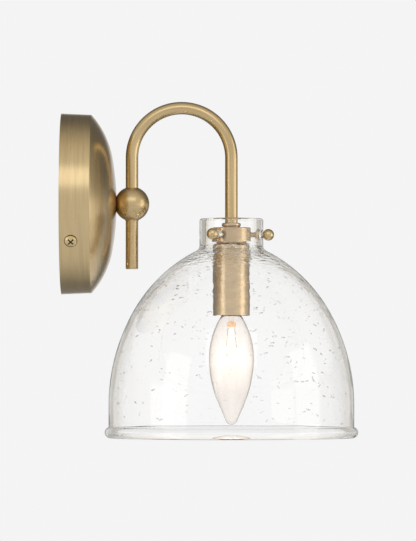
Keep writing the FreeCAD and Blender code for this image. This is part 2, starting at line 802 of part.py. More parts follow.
def bulb_contact():
    low = bulb_top - solder_height
    crown_r = (solder_r ** 2 + solder_height ** 2) / (2 * solder_height)
    return (Section(0, low).line(solder_r, low)
            .arc(0, bulb_top, (0, bulb_top - crown_r))).spun(lamp_x)


def bulb_stem():
    top = bulb_top - stem_top_drop
    press_top = bulb_top - press_drop
    tube = (Section(0, top).line(stem_flare_r, top)
            .line(stem_tube_r, top - stem_flare_height).line(stem_tube_r, press_top)
            .line(0, press_top)).spun(lamp_x)
    low = press_top - press_height
    press = Part.makeBox(press_width, press_depth, press_height,
                         V(lamp_x - press_width / 2, -press_depth / 2, low))
    upright = [edge for edge in press.Edges if near(edge.Length, press_height)]
    press = press.makeFillet(press_depth / 3, upright)
    tail = rod(rod_r, V(lamp_x, 0, press_top), V(lamp_x, 0, low - rod_length))
    return tube.fuse([press, tail]).removeSplitter()


def lead_ends(side):
    """Top and bottom of one lead wire in the bulb."""
    top = bulb_top - press_drop - press_height - seat_gap / 2
    return (V(lamp_x + side * lead_half_top, 0, top),
            V(lamp_x + side * lead_half_low, 0, top - lead_length))


def bulb_leads():
    leads = []
    for side in (-1, 1):
        top, low = lead_ends(side)
        wire = rod(lead_r, top - V(0, 0, lead_r), low)
        leads.append(wire)
    return Part.makeCompound(leads)


def bulb_filament():
    left = lead_ends(-1)[1] - V(0, 0, lead_r)
    right = lead_ends(1)[1] - V(0, 0, lead_r)
    middle = (left + right) / 2 - V(0, 0, filament_sag)
    path = Part.Wire(Part.Arc(left, middle, right).toShape())
    tangent = path.Edges[0].tangentAt(path.Edges[0].FirstParameter)
    disc = Part.Wire(Part.makeCircle(filament_r, left, tangent))
    return path.makePipeShell([disc], True, False)


# ---- writing --------------------------------------------------------------------------------------
def parts():
    made = {
        "mounting_strap": mounting_strap(),
        "ground_screw": ground_screw(),
        "canopy": canopy(),
        "canopy_screws": canopy_screws(),
        "canopy_nipple": canopy_nipple(),
        "canopy_washer": canopy_washer(),
        "canopy_nut": canopy_nut(),
        "ball": ball(),
        "tail_rod": tail_rod(),
        "arm_tube": arm_tube(),
        "check_ring": check_ring(),
        "shade_hub": shade_hub(),
        "glass_shade": glass_shade(),
        "socket_cup": socket_cup(),
        "socket_bracket": socket_bracket(),
        "socket_nut": socket_nut(),
        "bracket_screws": small_screws(V(1, 0, 0), bracket_half + bracket_t),
        "terminal_screws": small_screws(V(0, 1, 0), terminal_flat),
        "socket_body": socket_body(),
        "socket_shell": socket_shell(),
        "socket_contact": socket_contact(),
        "bulb_glass": bulb_glass(),
        "bulb_cap": bulb_cap(),
        "bulb_insulator": bulb_insulator(),
        "bulb_contact": bulb_contact(),
        "bulb_stem": bulb_stem(),
        "bulb_leads": bulb_leads(),
        "bulb_filament": bulb_filament(),
    }
    for number, way in enumerate(screw_directions(), start=1):
        axis = V(lamp_x, 0, screw_z)
        made[f"thumbscrew_{number}"] = aimed(thumbscrew(), axis, way)
        made[f"bush_{number}"] = aimed(bush(), axis, way)
    return made


def main():
    os.makedirs("parts", exist_ok=True)
    for name, shape in parts().items():
        assert shape.isValid(), name
        shape.exportStep(f"parts/{name}.step")
        print(f"{name}: {len(shape.Solids)} solid, {shape.Volume:.1f} mm3")


main()
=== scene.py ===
# %% [markdown]
# # A brass wall light with a seeded glass shade
# The light hangs on a wall: a domed brass canopy, a ball, a bent tube, and a clear glass shade
# full of small bubbles round a candle bulb. The solids come ready made from the frame, so this
# lesson gives them their finishes and adds what is too fine for a solid: the seeds in the glass,
# the threads and the coiled filament. Everything is in metres, +X leaves the wall and +Z is up.

# %% Load the frame
import bpy
import math
import random
from mathutils import Matrix, Vector
from mathutils.bvhtree import BVHTree


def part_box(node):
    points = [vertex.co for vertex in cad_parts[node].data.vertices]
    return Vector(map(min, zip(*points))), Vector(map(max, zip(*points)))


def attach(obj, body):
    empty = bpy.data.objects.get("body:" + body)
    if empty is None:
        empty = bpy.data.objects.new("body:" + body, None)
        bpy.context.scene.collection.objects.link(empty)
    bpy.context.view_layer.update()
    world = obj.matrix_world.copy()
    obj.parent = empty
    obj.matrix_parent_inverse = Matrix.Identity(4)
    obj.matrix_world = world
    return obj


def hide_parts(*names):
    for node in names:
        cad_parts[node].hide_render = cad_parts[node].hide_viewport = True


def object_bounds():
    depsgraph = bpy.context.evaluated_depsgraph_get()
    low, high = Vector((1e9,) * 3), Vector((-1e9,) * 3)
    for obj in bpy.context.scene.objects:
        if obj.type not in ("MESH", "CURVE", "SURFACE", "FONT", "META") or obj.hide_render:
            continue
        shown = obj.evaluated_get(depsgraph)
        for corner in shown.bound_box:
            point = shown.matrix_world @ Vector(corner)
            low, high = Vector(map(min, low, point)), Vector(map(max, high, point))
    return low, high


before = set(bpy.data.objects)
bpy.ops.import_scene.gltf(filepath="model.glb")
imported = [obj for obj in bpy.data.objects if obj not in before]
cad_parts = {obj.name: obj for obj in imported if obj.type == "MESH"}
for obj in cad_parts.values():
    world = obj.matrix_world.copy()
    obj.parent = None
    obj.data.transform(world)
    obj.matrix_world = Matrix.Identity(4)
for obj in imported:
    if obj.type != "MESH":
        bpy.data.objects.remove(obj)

solid_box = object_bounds()
bpy.ops.object.select_all(action="DESELECT")

# %% [markdown]
# ## Places that the finishes need
# A brushed finish runs round the axis that a piece was turned on, so each axis is read from the
# solids: the tail rod gives the line of the ball, the socket cup gives the line of the lamp, and
# the arm's box gives the arch between them. Read like this, they stay right if the solids change.

# %% Axes and radii


def middle_of(node):
    """Middle of a solid's box."""
    low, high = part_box(node)
    return (low + high) / 2


rod_low, rod_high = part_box("tail_rod")
ball_x = middle_of("tail_rod").x
lamp_x = middle_of("socket_cup").x
tube_r = (rod_high.x - rod_low.x) / 2
arch_r = (lamp_x - ball_x) / 2
arch_x = (lamp_x + ball_x) / 2
arch_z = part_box("arm_tube")[1].z - tube_r - arch_r
bulb_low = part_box("bulb_glass")[0]
shade_low, shade_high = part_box("glass_shade")
print("ball axis", round(ball_x, 4), "lamp axis", round(lamp_x, 4), "arch", round(arch_r, 4))

# %% [markdown]
# ## Sums on sockets
# A finish is a sum of patterns. Written as nodes it is hard to read, so one small class lets
# Python's own operators add the Math nodes, and one method adds every other kind of node.

# %% Values


class Value:
    """A socket that takes part in Python sums. Each operator adds one Math node."""

    def __init__(self, graph, socket):
        self.graph = graph
        self.socket = socket

    def output(self, name):
        """Another output of the same node."""
        return Value(self.graph, self.socket.node.outputs[name])

    def __add__(self, other):
        return self.graph.sum("ADD", self, other)

    def __sub__(self, other):
        return self.graph.sum("SUBTRACT", self, other)

    def __rsub__(self, other):
        return self.graph.sum("SUBTRACT", other, self)

    def __mul__(self, other):
        return self.graph.sum("MULTIPLY", self, other)

    def __truediv__(self, other):
        return self.graph.sum("DIVIDE", self, other)

    def __pow__(self, other):
        return self.graph.sum("POWER", self, other)

    __radd__ = __add__
    __rmul__ = __mul__


print("sums on sockets: +, -, *, / and **")

# %% Graphs


class Graph:
    """The nodes of one material or of the world."""

    def __init__(self, tree):
        self.tree = tree
        tree.nodes.clear()

    def node(self, kind, settings=None, sockets=None, output=0):
        """Adds a node: settings first, then its sockets' values or links."""
        made = self.tree.nodes.new("ShaderNode" + kind)
        for name, value in (settings or {}).items():
            setattr(made, name, value)
        for name, value in (sockets or {}).items():
            if isinstance(value, Value):
                self.tree.links.new(value.socket, made.inputs[name])
            else:
                made.inputs[name].default_value = value
        return Value(self, made.outputs[output])

    def sum(self, operation, *terms):
        """One Math node on up to three terms."""
        return self.node("Math", {"operation": operation}, dict(enumerate(terms)))

    def root(self, value):
        return self.sum("SQRT", value)

    def size(self, value):
        """A number without its sign."""
        return self.sum("ABSOLUTE", value)

    def between(self, value, low, high):
        """0 below low, 1 above high, and a soft rise between them."""
        return self.node("MapRange", {"interpolation_type": "SMOOTHSTEP"},
                         {"Value": value, "From Min": low, "From Max": high})

    def blend(self, factor, first, second):
        """A number between two others."""
        return first + factor * (second - first)

    def mixed(self, factor, first, second):
        """A colour between two others."""
        made = self.node("Mix", {"data_type": "RGBA"}, {0: factor}, 2)
        for index, colour in ((6, first), (7, second)):
            socket = made.socket.node.inputs[index]
            if isinstance(colour, Value):
                self.tree.links.new(colour.socket, socket)
            else:
                socket.default_value = (*colour, 1.0)
        return made

    def where(self, name="Object"):
        """The shaded point, in the piece's own coordinates."""
        return self.node("TexCoord", None, None, name)

    def place(self, name="Object"):
        """The three coordinates of the shaded point."""
        x = self.node("SeparateXYZ", None, {"Vector": self.where(name)}, "X")
        return x, x.output("Y"), x.output("Z")

    def vector(self, x, y, z):
        return self.node("CombineXYZ", None, {"X": x, "Y": y, "Z": z})

    def stretched(self, across, upwards):
        """The shaded point, scaled by one factor across and another upwards."""
        x, y, z = self.place()
        return self.vector(x * across, y * across, z * upwards)

    def noise(self, where, scale, detail=2.0, rough=0.5):
        return self.node("TexNoise", None, {"Vector": where, "Scale": scale, "Detail": detail,
                                            "Roughness": rough}, "Fac")

    def bump(self, height, strength, distance):
        return self.node("Bump", None, {"Height": height, "Strength": strength,
                                        "Distance": distance}, "Normal")

    def facing(self):
        """0 where the surface is seen straight on, 1 at its edge."""
        return self.node("LayerWeight", None, {"Blend": 0.5}, "Facing")

    def surface(self, shader, kind="Material"):
        """Ends the graph in its output node."""
        end = self.tree.nodes.new("ShaderNodeOutput" + kind)
        self.tree.links.new(shader.socket, end.inputs["Surface"])


print("graphs ready")

# %% Finishes


def grey(level):
    return (level, level, level)


def toned(colour, parts):
    """A colour with each of its three parts scaled."""
    return tuple(level * part for level, part in zip(colour, parts))


def finish_of(name):
    """A new material and its empty graph."""
    material = bpy.data.materials.new(name)
    material.use_nodes = True
    return material, Graph(material.node_tree)


def dress(material, *nodes):
    """Gives solids of the frame a material."""
    for node in nodes:
        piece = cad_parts[node]
        piece.data.materials.clear()
        piece.data.materials.append(material)
    print(material.name, "on", len(nodes))


print("finishes are made by finish_of and put on by dress")

# %% [markdown]
# ## The studio
# Brass has no look of its own: it shows what stands round it. So the room is built first. A light
# tent could be modelled, but a world that answers by the kind of ray is simpler and has no noise.
# The camera sees one even pale tone. Brass mirrors a room that is brighter in front of the light
# than behind it, with a strip of pale backdrop. Clear glass lets the pale tone through, and dims
# what it bends from far above and below, which draws its edges.

# %% Levels of the room
background = 0.905     # what the camera sees, a pale grey
plain_room = 0.9       # what lights paint and plastic
dark_room = 0.14       # what brass mirrors behind the light
front_room = 0.66      # added to that in front of the light
right_room = 0.50      # added on the right, below eye level
backdrop = 0.75        # added straight behind, where the pale backdrop stands
warm_sides = (1.0, 0.965, 0.89)   # tint of what brass mirrors beside and behind the light
glass_room = 0.85      # what clear glass mirrors
glancing_loss = 0.6    # lost from that at the edges of the glass
through_room = 0.96    # what shows straight through clear glass
steep_loss = 0.4       # lost from that far above and below
wall_room = 0.42       # least level of light caught inside the wall of the glass
wall_share = 0.3       # share of the mirrored room that joins it there
cup_share = 1.05       # share of the mirrored room that the socket cup shows through the shade
cup_depth = 4.0        # a ray off the cup has crossed four glass surfaces
print("levels from", dark_room, "to", through_room)

# %% Where the levels meet
# Each span is a part of one coordinate of the direction, which runs from -1 to 1.
front_span = (-0.8, 0.6)       # towards the camera's side
right_span = (0.3, 1.0)        # to the right
above_span = (0.0, 0.14)       # up from eye level
straight_span = (0.93, 0.995)  # straight behind, for brass
glancing_span = (0.94, 0.99)   # the same for the edges of glass
steep_span = (0.7, 1.0)        # up or down
beside_span = (0.3, 0.9)       # from beside the light to in front of it
print("the front's level sets in from", *front_span)

# %% Room
world = bpy.data.worlds.new("pale_room")
bpy.context.scene.world = world
world.use_nodes = True
room = Graph(world.node_tree)
right, back, up = room.place("Generated")
ray = room.node("LightPath")
in_front = room.between(0 - back, *front_span)
at_right = room.between(right, *right_span) * (1 - room.between(up, *above_span))
straight = room.between(back, *straight_span)
mirrored = dark_room + in_front * front_room + at_right * right_room + straight * backdrop
off_the_cup = room.sum("COMPARE", ray.output("Transmission Depth"), cup_depth, 0.5)
caught = room.between(ray.output("Glossy Depth"), 0.4, 0.6)
inside = (mirrored * room.blend(off_the_cup, wall_share, cup_share)
          + (1 - off_the_cup) * wall_room)
clear = through_room - room.between(room.size(up), *steep_span) * steep_loss
clear = room.blend(caught, clear, inside)
glassy = glass_room - room.between(back, *glancing_span) * glancing_loss
mirrored = room.blend(ray.output("Is Singular Ray"), mirrored, glassy)
level = room.blend(ray.output("Is Glossy Ray"), plain_room, mirrored)
level = room.blend(ray.output("Is Transmission Ray"), level, clear)
level = room.blend(ray.output("Is Camera Ray"), level, background)
beside = (1 - room.between(0 - back, *beside_span)) * (1 - straight)
tint = room.mixed(ray.output("Is Glossy Ray") * beside, grey(1.0), warm_sides)
room.surface(room.node("Background", None, {"Color": tint, "Strength": level}), "World")
print("room set at", background)

# %% [markdown]
# ## The floor
# The floor catches the light's soft shadow and fades out before its rim, so that no edge shows.
# What the camera sees, straight or through glass, is pale. What falls back on the brass from
# behind is darker: a painted fall of light, as under a lamp that stands close to the front.

# %% Floor
floor_z = -0.34
floor_r = 1.5
seen_tone = 0.91                   # for the camera and through glass
# painted light fall-off: the floor shows the brass a lighter tone in front and a darker one behind
near_tone, far_tone = 0.78, 0.27   # for the brass, in front of the light and behind it
near_y, far_y = -0.14, 0.2         # where one gives way to the other
fade_start, fade_end = 0.55, 0.95  # shares of the radius
floor_sides = 96
bpy.ops.mesh.primitive_circle_add(vertices=floor_sides, radius=floor_r, fill_type="NGON",
                                  location=(lamp_x, 0, floor_z))
floor = bpy.context.object
floor.name = "floor"
pale, graph = finish_of("pale_floor")
x, y, z = graph.place()
edge = graph.between(graph.root(x * x + y * y), fade_start * floor_r, fade_end * floor_r)
ray = graph.node("LightPath", None, None, "Is Camera Ray")
seen = graph.sum("MAXIMUM", ray, ray.output("Is Transmission Ray"))
lit = graph.mixed(graph.between(y, near_y, far_y), grey(near_tone), grey(far_tone))
plain = graph.node("BsdfDiffuse", None, {"Color": graph.mixed(seen, lit, grey(seen_tone))})
gone = graph.node("BsdfTransparent")
graph.surface(graph.node("MixShader", None, {0: edge, 1: plain, 2: gone}))
floor.data.materials.append(pale)
print("floor at", floor_z)

# %% [markdown]
# ## Soft boxes
# Two tall panels beside the camera draw the upright highlights on the tube and the cup, and a wide
# one above draws the level ones on the rim of the canopy. An area lamp is used because its size
# sets how broad a highlight is, while its level sets how bright.

# %% Soft boxes
box_away = 1.7                     # from the middle of the light
middle = (solid_box[0] + solid_box[1]) / 2


def soft_box(name, turn, rise, width, height, level):
    """A lit panel: turn in degrees from the camera towards +X, rise above the horizon."""
    turn, rise = math.radians(turn), math.radians(rise)
    way = Vector((math.sin(turn) * math.cos(rise), -math.cos(turn) * math.cos(rise),
                  math.sin(rise)))
    lamp = bpy.data.lights.new(name, "AREA")
    lamp.shape = "RECTANGLE"
    lamp.size, lamp.size_y = width, height
    lamp.energy = level * math.pi * width * height
    panel = bpy.data.objects.new(name, lamp)
    panel.location = middle + way * box_away
    panel.rotation_euler = (-way).to_track_quat("-Z", "Y").to_euler()
    bpy.context.scene.collection.objects.link(panel)


soft_box("box_right", turn=76, rise=4, width=0.85, height=1.3, level=0.78)
soft_box("box_left", turn=-54, rise=4, width=0.75, height=1.3, level=0.78)
soft_box("box_top", turn=0, rise=34, width=1.5, height=0.75, level=0.72)
print("three soft boxes")

# %% [markdown]
# ## The camera
# The photograph was taken from the side with a long lens. The scale follows from known sizes, such
# as the canopy's 127 mm, and the camera stands low, where the rim of the shade is almost edge on.
# It is aimed up a little rather than shifted, so that the other views stay centred.

# %% Camera
photo_wide, photo_high = 416, 541
metres_per_pixel = 0.0007016
wall_px, axis_py = 61.5, 204.0     # the wall's face and the ball's middle in the photograph
camera_away = 3.0
camera_z = -0.115
film_wide = 36.0                   # millimetres
camera_data = bpy.data.cameras.new("camera")
camera_data.sensor_width = film_wide
camera_data.lens = film_wide * camera_away / (metres_per_pixel * photo_high)
camera = bpy.data.objects.new("camera", camera_data)
camera_x = (photo_wide / 2 - wall_px) * metres_per_pixel
aim_z = (axis_py - photo_high / 2) * metres_per_pixel
camera.location = (camera_x, -camera_away, camera_z)
camera.rotation_euler = (math.radians(90) + math.atan2(aim_z - camera_z, camera_away), 0, 0)
bpy.context.scene.collection.objects.link(camera)
bpy.context.scene.camera = camera
bpy.context.scene.view_settings.view_transform = "Standard"
print("lens", round(camera_data.lens, 1))

# %% [markdown]
# ## Brushed brass
# The brass was turned or belted, then lacquered. Fine lines run round each turned piece and along
# the bent tube. A picture of brushed metal would stretch over the dome, so the lines are noise
# that changes fast across them and slowly along them. Each piece needs its own coordinates for
# that: one across, and a slow pair along.

# %% Coordinates of the brush
tube_run = 12.0        # how fast the slow pair changes along the tube


def round_wall_axis(graph):
    """Brush lines round the canopy's own axis."""
    x, y, z = graph.place()
    radius = graph.root(y * y + z * z)
    return radius - x, y / radius, z / radius


def round_upright_axis(axis_x):
    """Brush lines round an upright axis."""
    def lines(graph):
        x, y, z = graph.place()
        out = x - axis_x
        radius = graph.root(out * out + y * y)
        return radius - z, out / radius, y / radius
    return lines


def along_tube(graph):
    """Brush lines along the bent tube: angle round its section, and a slow run along it."""
    x, y, z = graph.place()
    side = x - arch_x
    above = graph.sum("MAXIMUM", z - arch_z, 0.0)
    reach = graph.root(side * side + above * above)
    angle = graph.sum("ARCTAN2", y, reach - arch_r)
    return angle * tube_r, z * tube_run, side * tube_run


ball_lines = round_upright_axis(ball_x)
lamp_lines = round_upright_axis(lamp_x)
print("brush lines round", round(ball_x, 4), "and", round(lamp_x, 4))

# %% [markdown]
# The finish itself mixes three patterns: the hair lines, broader bands of the same brushing, and
# soft clouds where the brass has aged to brown. The hair lines also make the surface rougher or
# smoother and dent it, so that a highlight breaks up as on real brass. The coat is the lacquer.

# %% Brass
hair_fine, hair_run = 4200.0, 3.0   # hair lines a metre across, and how soon one ends
band_fine, band_run = 350.0, 1.4    # the same for the bands
hair_share = 0.6                    # of the line pattern, and the bands make the rest
line_span = (0.36, 0.62)            # where the pattern turns from dark to bright
dark_line = 0.84                    # tone of a dark line
cloud_fine = 38.0
cloud_span = (0.52, 0.78)           # where a cloud sets in
cloud_share = 0.6                   # how far it turns the brass to brown
brown_parts = (0.94, 0.88, 0.78)    # what brown keeps of red, green and blue
hair_rough, cloud_rough = 0.12, 0.08
hair_deep = 0.00003                 # dent of a hair line at full depth
lacquer, lacquer_rough = 0.4, 0.18
# colour of the shade painted into recesses, grooves and joints
painted_shade = (0.05, 0.035, 0.015)


def brass(name, lines, tone, depth, rough, fine=hair_fine, painted_shade_mask=None):
    """Brushed, lightly aged, lacquered brass. A painted shade mask, if given, darkens where shadow
    falls.
    """
    material, graph = finish_of(name)
    across, slow_a, slow_b = lines(graph)
    hair_at = graph.vector(across * fine, slow_a * hair_run, slow_b * hair_run)
    band_at = graph.vector(across * band_fine, slow_a * band_run, slow_b * band_run)
    hair = graph.noise(hair_at, 1.0, 3.0, 0.6)
    band = graph.noise(band_at, 1.0)
    cloud = graph.noise(graph.where(), cloud_fine, 3.0)
    bright = graph.between(hair * hair_share + band * (1 - hair_share), *line_span)
    aged = graph.between(cloud, *cloud_span) * cloud_share
    colour = graph.mixed(bright, toned(tone, grey(dark_line)), tone)
    colour = graph.mixed(aged, colour, toned(tone, brown_parts))
    # painted shade: recesses, grooves and joints are darkened where shadow falls
    if painted_shade_mask:
        colour = graph.mixed(painted_shade_mask(graph), colour, painted_shade)
    graph.surface(graph.node("BsdfPrincipled", None, {
        "Base Color": colour, "Metallic": 1.0,
        "Roughness": rough + (hair - 0.5) * hair_rough + (cloud - 0.5) * cloud_rough,
        "Normal": graph.bump(hair, depth, hair_deep),
        "Coat Weight": lacquer, "Coat Roughness": lacquer_rough}))
    return material


print("brass has", round(1 / hair_fine * 1000, 2), "mm hair lines")

# %% [markdown]
# ## Where shade is painted
# Shade is painted dark into a screw's cross recess, round its head, and along the joint between
# hub and cup, where shadow falls. Each is a place that can be measured: the two side screws stand
# on one line through the canopy's axis, so the distance from that line gives the ring round a
# head, and the depth below the head's dome gives the recess.

# %% The line of the side screws
screw_turn = math.radians(26)      # how far the line is turned from level
screw_way = Vector((0, math.cos(screw_turn), math.sin(screw_turn)))
screw_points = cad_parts["canopy_screws"].data.vertices
screw_top = max(point.co.dot(screw_way) for point in screw_points)
screw_low, screw_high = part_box("canopy_screws")
screw_x = middle_of("canopy_screws").x
head_r = (screw_high.x - screw_low.x) / 2
crown_r = 1.63 * head_r            # radius of the head's low dome
print("canopy screw head", round(head_r, 4), "top", round(screw_top, 4))

# %% Where painted shade starts and is full
sunk_span = (0.00015, 0.0004)                  # below the head's dome
cross_span = (0.62 * head_r, 0.6944 * head_r)  # from the screw's middle to the recess's end
foot_span = (0.90 * head_r, head_r)            # the foot of the head
spot_span = (1.06 * head_r, 1.14 * head_r)     # the groove round it
joint_span = (0.0003, 0.0009)                  # above and below the cup's top
# how dark the painted shade is at a screw's foot, in the groove round it, and at the hub's joint
painted_foot_shade, painted_spot_shade, painted_joint_dark = 0.6, 0.75, 0.8
cup_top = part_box("socket_cup")[1].z
print("the recess reaches", round(1000 * cross_span[1], 2), "mm")

# %% Masks of painted shade


def from_screw(graph):
    """Distance from the line of the side screws, and how far out along it."""
    x, y, z = graph.place()
    aside = x - screw_x
    across = z * screw_way.y - y * screw_way.z
    return (graph.root(aside * aside + across * across),
            graph.size(y * screw_way.y + z * screw_way.z))


def painted_recess_shade(graph):
    """Painted shade on a side screw: the cross recess and the foot of the head."""
    radius, out = from_screw(graph)
    dome = graph.root(graph.sum("MAXIMUM", crown_r ** 2 - radius * radius, 0.0))
    sunk = graph.between(screw_top - crown_r + dome - out, *sunk_span)
    recess = sunk * (1 - graph.between(radius, *cross_span))
    return graph.sum("MAXIMUM", recess, graph.between(radius, *foot_span) * painted_foot_shade)


def painted_groove_shade(graph):
    """Painted shadow in the groove between a screw's head and the flat spot that it sits in."""
    radius = from_screw(graph)[0]
    return painted_spot_shade * (1 - graph.between(radius, *spot_span))


def painted_joint_shade(graph):
    """Painted shade: a dark line where the hub stands on the socket cup."""
    z = graph.place()[2]
    return painted_joint_dark * (1 - graph.between(graph.size(z - cup_top), *joint_span))


# painted shade on the screws, round their heads, and along the hub's joint
print("dirt on the screws, their spots, and the joint at", round(cup_top, 4))

# %% [markdown]
# ## The brass pieces
# One recipe serves all the brass, with a tone, a depth of line and a roughness for each piece. The
# tube is belted along its length, so its lines are broader and shallower than the turned ones.

# %% Brass pieces
tube_fine = 1500.0
# the canopy, hub, cup and side screws get painted shade in their groove, joint and recesses
dress(brass("brass_canopy", round_wall_axis, (0.655, 0.50, 0.27), 0.45, 0.24, painted_shade_mask=painted_groove_shade),
      "canopy")
dress(brass("brass_ball", ball_lines, (0.62, 0.46, 0.24), 0.25, 0.28), "ball", "tail_rod")
dress(brass("brass_tube", along_tube, (0.63, 0.47, 0.245), 0.08, 0.25, tube_fine), "arm_tube")
dress(brass("brass_hub", lamp_lines, (0.63, 0.465, 0.28), 0.25, 0.22, painted_shade_mask=painted_joint_shade),
      "check_ring", "shade_hub")
dress(brass("brass_cup", lamp_lines, (0.71, 0.53, 0.32), 0.4, 0.25, painted_shade_mask=painted_joint_shade),
      "socket_cup")
dress(brass("brass_screw", round_wall_axis, (0.70, 0.54, 0.26), 0.15, 0.24, painted_shade_mask=painted_recess_shade),
      "canopy_screws")
dress(brass("brass_terminal", lamp_lines, (0.64, 0.47, 0.23), 0.15, 0.24), "terminal_screws")

# %% [markdown]
# ## Clear glass
# The shade is blown: clear, a little wavy, and streaked where its neck was drawn from the dome.
# The waves are too slight for geometry, so a bump bends the light. The bulb is lit, and a little
# of its light is caught in the glass near the filament. A volume would show that too, but slowly
# and with noise, so a faint glow is painted into the glass itself there.

# %% Glass
glass_ior = 1.47
ripple_deep = 0.0006
tint_grain = 30.0                  # how fast the tint comes and goes
copper = (1.0, 0.50, 0.16)
glow_z = bulb_low.z + 0.0435       # level of the glow's middle
press_z = bulb_low.z + 0.0705      # level of the stem's pressed part
shoulder_z = shade_high.z - 0.026  # where the neck of the shade meets the dome


def blown_glass(name, tint, ripple, glow, stain=None):
    """Clear glass: a ripple in its surface, and a painted glow for the bulb's light caught in it.
    """
    material, graph = finish_of(name)
    where = graph.where()
    colour = graph.mixed(graph.noise(where, tint_grain), tint, grey(1.0))
    if stain:
        colour = graph.mixed(stain(graph), colour, copper)
    graph.surface(graph.node("BsdfPrincipled", None, {
        "Base Color": colour, "Roughness": 0.0, "IOR": glass_ior, "Transmission Weight": 1.0,
        "Normal": graph.bump(ripple(graph, where), 1.0, ripple_deep),
        "Emission Color": glow(graph), "Emission Strength": 1.0}))
    return material


print("glow at", round(glow_z, 4), "shoulder at", round(shoulder_z, 4))

# %% The shade
slow_wave, slow_share = 45.0, 0.32       # fineness and height of each wave
streak_fine, streak_share = (160.0, 700.0), 0.75
lower_fine, lower_share = (130.0, 330.0), 0.14
streak_span = (0.002, 0.014)             # from the shoulder
lower_span = (0.02, 0.07)                # down from the shoulder
shade_span = (0.01, 0.075)               # from the middle of the glow
shade_light = (0.004, 0.0035, 0.003)


def shade_ripple(graph, where):
    """A slow wave all over, and close streaks where the neck was drawn from the dome."""
    z = graph.place()[2]
    slow = graph.noise(where, slow_wave, 1.0)
    streaks = graph.noise(graph.stretched(*streak_fine), 1.0)
    lower = graph.noise(graph.stretched(*lower_fine), 1.0, 1.0)
    near_neck = 1 - graph.between(graph.size(z - shoulder_z), *streak_span)
    down = 1 - graph.between(shoulder_z - z, *lower_span)
    return slow * slow_share + near_neck * streaks * streak_share + down * lower * lower_share


def shade_glow(graph):
    """Painted glow: the shade's wall shows a little of the bulb's light, most beside the bulb."""
    z = graph.place()[2]
    near = 1 - graph.between(graph.size(z - glow_z), *shade_span)
    return graph.mixed(near, grey(0.0), shade_light)


dress(blown_glass("seeded_glass", grey(0.985), shade_ripple, shade_glow), "glass_shade")

# %% The bulb
bulb_wave, bulb_share = 40.0, 0.2
bulb_span = (0.0, 0.025)                 # from the middle of the glow
side_fade = 2.0                          # above 1, the glow fades sooner to the side
# colours of the glow painted on the bulb's glass, faint and full
bulb_faint_glow, bulb_light = (0.009, 0.005, 0.002), (0.070, 0.058, 0.040)


def bulb_ripple(graph, where):
    """Machine made glass is only faintly wavy."""
    return graph.noise(where, bulb_wave, 1.0) * bulb_share


def bulb_glow(graph):
    """Painted glow of light scattered in the glass: brightest before the filament, fading to the
    side.
    """
    z = graph.place()[2]
    near = 1 - graph.between(graph.size(z - glow_z), *bulb_span)
    middle = (1 - graph.facing()) ** side_fade
    return graph.mixed(near * middle, bulb_faint_glow, bulb_light)


dress(blown_glass("bulb_glass", (0.985, 0.925, 0.875), bulb_ripple, bulb_glow), "bulb_glass")

# %% The bulb's stem
press_span = (0.0016, 0.0026)            # from the middle of the pressed part
wire_fine, wire_span = (420.0, 1100.0), (0.42, 0.58)
least_copper = 0.25
rod_z, rod_span = press_z - 0.006, (0.002, 0.005)
# colour of the glow painted on the stem's rod
rod_light = (0.4, 0.33, 0.22)


def pressed_part(graph):
    """Mask of the stem's pressed part, where copper coated wires pass through the glass."""
    z = graph.place()[2]
    pressed = 1 - graph.between(graph.size(z - press_z), *press_span)
    wires = graph.between(graph.noise(graph.stretched(*wire_fine), 1.0, 1.0), *wire_span)
    return pressed * graph.blend(wires, least_copper, 1.0)


def stem_glow(graph):
    """Painted glow: the rod below the pressed part glows white."""
    z = graph.place()[2]
    return graph.mixed(1 - graph.between(graph.size(z - rod_z), *rod_span), grey(0.0), rod_light)


dress(blown_glass("stem_glass", (1.0, 0.90, 0.80), bulb_ripple, stem_glow, pressed_part),
      "bulb_stem")

# %% [markdown]
# ## Seeds in the glass
# Seeds are bubbles that stayed in the melt. Blowing stretched them flat in the wall of the shade,
# so from the front those near the top look like level dashes, and those at the sides upright
# ones. A bump could only hint at them, so each is a real bubble. One is modelled with few faces,
# a flat drop with one pointed end, because there are hundreds.

# %% One bubble
bubble_r = 0.001
point_x = 0.6 * bubble_r           # where the pointed end starts
flat_shape = (1.5, 0.82, 0.42)     # long, wide and thick
point_shape = (1.3, 0.75, 0.8)
bpy.ops.mesh.primitive_uv_sphere_add(segments=8, ring_count=6, radius=bubble_r, location=(0, 0, 0))
bubble = bpy.context.object
bpy.ops.object.mode_set(mode="EDIT")
bpy.ops.mesh.select_all(action="SELECT")
bpy.ops.transform.resize(value=flat_shape)
bpy.ops.object.mode_set(mode="OBJECT")
for vertex in bubble.data.vertices:
    vertex.select = vertex.co.x > point_x
bpy.ops.object.mode_set(mode="EDIT")
bpy.ops.transform.resize(value=point_shape, center_override=(point_x, 0, 0))
bpy.ops.object.mode_set(mode="OBJECT")
bpy.ops.object.shade_smooth()
print("bubble faces:", len(bubble.data.polygons))

# %% [markdown]
# The bubbles lie in the middle of the wall, more closely towards the top, as the blower leaves
# them. Where the wall is, the shade itself tells: a ray from the lamp's axis finds its inner face,
# and a second ray finds its outer one. A place in a hole or in the bead would be passed over.

